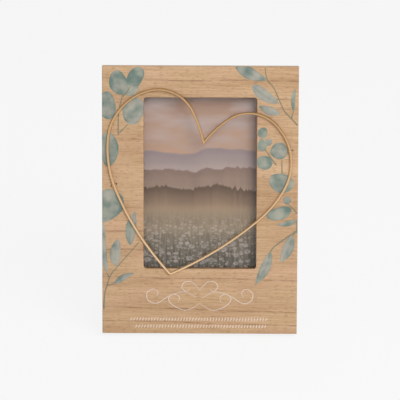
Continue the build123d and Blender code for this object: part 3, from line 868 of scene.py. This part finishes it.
class PHOTOFRAME_OT_heart(bpy.types.Operator):
    """Finish the heart wire and its ties in satin gold"""

    bl_idname = "photo_frame.heart"
    bl_label = "Heart wire"

    def execute(self, context):
        metal = context.scene.photo_frame.metal
        # handling dulls the gold a little more than it polishes it
        worn = {"roughness": metal.gold_roughness, "patch": 2.86, "detail": 3, "spread": (0.06, 0.08)}
        # the wire's gold is painted paler towards its tip, as painted light
        dress(plated_steel("satin_gold_wire", metal.gold, **worn, painted_light_colour=metal.tip_painted_light_gold), "heart_wire")
        dress(plated_steel("pale_gold_tie_wire", metal.tie_gold, **worn), "wire_ties")
        return {"FINISHED"}


class PHOTOFRAME_OT_glazing(bpy.types.Operator):
    """Finish the glass, the print and the filler card behind it"""

    bl_idname = "photo_frame.glazing"
    bl_label = "Glass and print"

    def execute(self, context):
        dress(float_glass(), "glass_pane")
        dress(photo_paper(), "photo_print")
        card = context.scene.photo_frame.board.card
        dress(pressed_fibre("grey_pulp_card", card, fleck_length=4, roughness=0.85), "filler_card")
        return {"FINISHED"}


class PHOTOFRAME_OT_back(bpy.types.Operator):
    """Finish the back panel and the easel strut in brown hardboard"""

    bl_idname = "photo_frame.back"
    bl_label = "Back panel and strut"

    def execute(self, context):
        brown = context.scene.photo_frame.board.back_board
        hardboard = pressed_fibre("brown_hardboard", brown, fleck_length=6, roughness=0.6)
        dress(hardboard, "back_panel", "easel_strut")
        return {"FINISHED"}


class PHOTOFRAME_OT_hardware(bpy.types.Operator):
    """Finish the hinge, rivets, turn buttons and screws in zinc-plated steel"""

    bl_idname = "photo_frame.hardware"
    bl_label = "Hinge and buttons"

    def execute(self, context):
        metal = context.scene.photo_frame.metal
        # bright zinc is pale grey with a faint cloudy bloom
        bloom = {"roughness": metal.zinc_roughness, "patch": 1.25, "detail": 4, "spread": (0.1, 0.1)}
        steel = plated_steel("zinc_plated_steel", metal.zinc, **bloom)
        dress(steel, "hinge_bracket", "bracket_rivets", "hinge_pin", "strut_clip", "clip_rivets")
        dress(steel, "button_screws", *(name for name in frame["nodes"] if name.startswith("turn_button")))
        return {"FINISHED"}


class PHOTOFRAME_OT_sprigs(bpy.types.Operator):
    """Print the leaf sprigs on both sides of the board"""

    bl_idname = "photo_frame.sprigs"
    bl_label = "Leaf sprigs"

    def execute(self, context):
        sprigs = context.scene.photo_frame.sprigs
        oak = bpy.data.node_groups["oak_print"]
        sheet = bmesh.new()
        for key in LEAF_MARKS:
            sheet.verts.layers.float.new(key)
        for number, leaf in enumerate(LEAVES):
            draw_leaf(sheet, leaf, sprigs.film + LEAF_STEP * number)
        bmesh.ops.recalc_face_normals(sheet, faces=sheet.faces[:])
        leaves = bpy.data.meshes.new("printed_leaves")
        sheet.to_mesh(leaves)
        sheet.free()
        print_on_board("printed_leaves", leaves, watercolour_print(sprigs, oak))
        ink = line_print("stem_ink", sprigs.stem, STEM_COVER, oak)
        lines = line_mesh("stem_lines", [(stem, lambda t: 1 - STEM_TAPER * t) for stem in STEMS], STEM_LIFT)
        sizes = {"Width": sprigs.stem_width, "Film": STEM_FILM, "Spacing": STEM_SPACING, "Ink": ink}
        stems = grow("printed_stems", lines, stroke_tree(), **sizes)
        print_on_board("printed_stems", stems, ink)
        return {"FINISHED"}


class PHOTOFRAME_OT_flourish(bpy.types.Operator):
    """Print the pale flourish and the two seed rows below the window"""

    bl_idname = "photo_frame.flourish"
    bl_label = "Flourish and seed rows"

    def execute(self, context):
        sprigs = context.scene.photo_frame.sprigs
        ink = line_print("pale_ink", sprigs.ink, PALE_COVER, bpy.data.node_groups["oak_print"])
        strokes = []
        for stroke in FLOURISH:
            for side in (-1, 1):
                line = [(side * x, FLOURISH_HEIGHT + y) for x, y in stroke]
                strokes.append((line, lambda t: STROKE_ENDS + STROKE_SWELL * math.sin(math.pi * t)))
        lines = line_mesh("flourish_lines", strokes, sprigs.film)
        sizes = {"Width": sprigs.stroke_width, "Film": STROKE_FILM, "Spacing": STROKE_SPACING, "Ink": ink}
        print_on_board("printed_flourish", grow("printed_flourish", lines, stroke_tree(), **sizes), ink)
        tree = seed_tree()
        first, last = SEED_ROWS[0][1:]
        step = (last - first) / (sprigs.seed_count - 1)
        for number, (height, start, end) in enumerate(SEED_ROWS):
            name = f"printed_seed_row_{number + 1}"
            sizes = {
                "Count": round((end - start) / step) + 1,
                "Start": (start, height, 0),
                "Step": (step, 0, 0),
                "Seed Size": (SEED_WIDTH, SEED_LENGTH, 2 * sprigs.film),
                "Least Turn": (0, 0, -SEED_SLANT - SEED_SWING),
                "Most Turn": (0, 0, -SEED_SLANT + SEED_SWING),
                "Ink": ink,
            }
            row = grow(name, bpy.data.meshes.new(name), tree, **sizes)
            print_on_board(name, row, ink)
        return {"FINISHED"}


# Stage, in metres. The floor shines by itself for this share, so that its shadow stays faint
FLOOR_GLOW = 0.9
FLOOR_RADIUS = 6
FLOOR_SIDES = 96
# Upward part of a direction where the paper surround starts and ends its turn into the ceiling
CEILING_STARTS = 0.38
CEILING_FULL = 0.6
# The lamp's direction from the middle of the board, its distance and its size
LAMP_DIRECTION = (RIGHT * 0.6 + UP * 0.65 - REAR).normalized()
LAMP_DISTANCE = 1.7
LAMP_SIZE = 1.0
SENSOR_WIDTH = 36
# How far above the middle of the board the camera aims
AIM_RISE = 0.85 * MM


class PHOTOFRAME_OT_stage(bpy.types.Operator):
    """Lay the studio floor, light the frame and set up the camera"""

    bl_idname = "photo_frame.stage"
    bl_label = "Studio stage"

    def execute(self, context):
        stage = context.scene.photo_frame.stage
        context.scene.view_settings.view_transform = "Standard"
        self.lay_floor(stage)
        self.light(context.scene, stage)
        self.place_camera(context.scene, stage)
        return {"FINISHED"}

    def lay_floor(self, stage):
        """A wide round floor of studio paper, mostly self-lit to the eye so that its shadow stays faint."""
        material, put = new_material("studio_paper")
        paper = put("ShaderNodeBsdfDiffuse", {"Color": stage.paper})
        glow = put("ShaderNodeEmission", {"Color": stage.paper, "Strength": 1})
        share = put(MATH, {0: self.seen_ray(put), 1: FLOOR_GLOW}, "MULTIPLY")
        mixed = put("ShaderNodeMixShader", {0: share, 1: paper, 2: glow})
        put(OUTPUT, {"Surface": mixed})
        mesh = bpy.data.meshes.new("studio_floor")
        sheet = bmesh.new()
        bmesh.ops.create_circle(sheet, cap_ends=True, segments=FLOOR_SIDES, radius=FLOOR_RADIUS)
        sheet.to_mesh(mesh)
        sheet.free()
        mesh.materials.append(material)
        floor = bpy.data.objects.new("studio_floor", mesh)
        bpy.context.scene.collection.objects.link(floor)

    def seen_ray(self, put):
        """1 for a ray from the camera, also by way of metal and glass; 0 for light that falls on things."""
        ray = put("ShaderNodeLightPath").outputs
        seen = ray["Is Camera Ray"]
        for kind in ("Is Glossy Ray", "Is Transmission Ray"):
            seen = put(MATH, {0: seen, 1: ray[kind]}, "MAXIMUM")
        return seen

    def light(self, scene, stage):
        """Even light from all round, and one large soft lamp above the front."""
        world = bpy.data.worlds.new("studio")
        world.use_nodes = True
        world.node_tree.nodes.clear()
        put = partial(add, world.node_tree)
        even = put("ShaderNodeBackground", {"Color": (1, 1, 1), "Strength": stage.fill})
        where = put("ShaderNodeTexCoord").outputs["Generated"]
        height = put(SEPARATE, {0: where}).outputs["Z"]
        ceiling = put(RANGE, {"Value": height, LOW: CEILING_STARTS, HIGH: CEILING_FULL})
        room = put(MIX, {0: ceiling, 6: stage.paper, 7: stage.ceiling})
        paper = put("ShaderNodeBackground", {"Color": room, "Strength": 1})
        mixed = put("ShaderNodeMixShader", {0: self.seen_ray(put), 1: even, 2: paper})
        put("ShaderNodeOutputWorld", {"Surface": mixed})
        scene.world = world
        lamp = bpy.data.lights.new("key_lamp", "AREA")
        lamp.shape = "SQUARE"
        lamp.size = LAMP_SIZE
        lamp.energy = stage.key
        key = bpy.data.objects.new("key_lamp", lamp)
        key.location = MIDDLE + LAMP_DIRECTION * LAMP_DISTANCE
        key.visible_glossy = False
        key.rotation_mode = "QUATERNION"
        key.rotation_quaternion = (MIDDLE - key.location).to_track_quat("-Z", "Y")
        scene.collection.objects.link(key)

    def place_camera(self, scene, stage):
        """A long lens aimed at the middle of the board's face."""
        data = bpy.data.cameras.new("camera")
        data.lens = stage.lens
        data.sensor_width = SENSOR_WIDTH
        camera = bpy.data.objects.new("camera", data)
        level = Vector((-math.sin(stage.azimuth), math.cos(stage.azimuth), 0))
        forward = level * math.cos(stage.elevation) - Vector((0, 0, math.sin(stage.elevation)))
        across = forward.cross(Vector((0, 0, 1))).normalized()
        above = across.cross(forward)
        right = across * math.cos(stage.roll) + above * math.sin(stage.roll)
        up = above * math.cos(stage.roll) - across * math.sin(stage.roll)
        place = MIDDLE + up * AIM_RISE - forward * stage.distance
        turn = Matrix((right, up, -forward)).transposed().to_4x4()
        camera.matrix_world = Matrix.Translation(place) @ turn
        scene.collection.objects.link(camera)
        scene.camera = camera


class PHOTOFRAME_PT_panel(bpy.types.Panel):
    """The frame's finishes and its stage"""

    bl_idname = "PHOTOFRAME_PT_panel"
    bl_label = "Photo frame"
    bl_space_type = "VIEW_3D"
    bl_region_type = "UI"
    bl_category = "Photo frame"

    def draw(self, context):
        for operator in OPERATORS:
            self.layout.operator(operator.bl_idname)
        settings = context.scene.photo_frame
        for group in (settings.board, settings.metal, settings.sprigs, settings.stage):
            box = self.layout.box()
            for name in group.__annotations__:
                box.prop(group, name)


GROUPS = (
    PHOTOFRAME_PG_board,
    PHOTOFRAME_PG_metal,
    PHOTOFRAME_PG_sprigs,
    PHOTOFRAME_PG_stage,
    PHOTOFRAME_PG_settings,
)
OPERATORS = (
    PHOTOFRAME_OT_board,
    PHOTOFRAME_OT_heart,
    PHOTOFRAME_OT_glazing,
    PHOTOFRAME_OT_back,
    PHOTOFRAME_OT_hardware,
    PHOTOFRAME_OT_sprigs,
    PHOTOFRAME_OT_flourish,
    PHOTOFRAME_OT_stage,
)


def register():
    for group in (*GROUPS, *OPERATORS, PHOTOFRAME_PT_panel):
        bpy.utils.register_class(group)
    bpy.types.Scene.photo_frame = PointerProperty(type=PHOTOFRAME_PG_settings)


def unregister():
    del bpy.types.Scene.photo_frame
    for group in reversed((*GROUPS, *OPERATORS, PHOTOFRAME_PT_panel)):
        bpy.utils.unregister_class(group)


def main():
    register()
    bpy.ops.photo_frame.board()
    bpy.ops.photo_frame.heart()
    bpy.ops.photo_frame.glazing()
    bpy.ops.photo_frame.back()
    bpy.ops.photo_frame.hardware()
    bpy.ops.photo_frame.sprigs()
    bpy.ops.photo_frame.flourish()
    bpy.ops.photo_frame.stage()


if __name__ == "__main__":
    main()
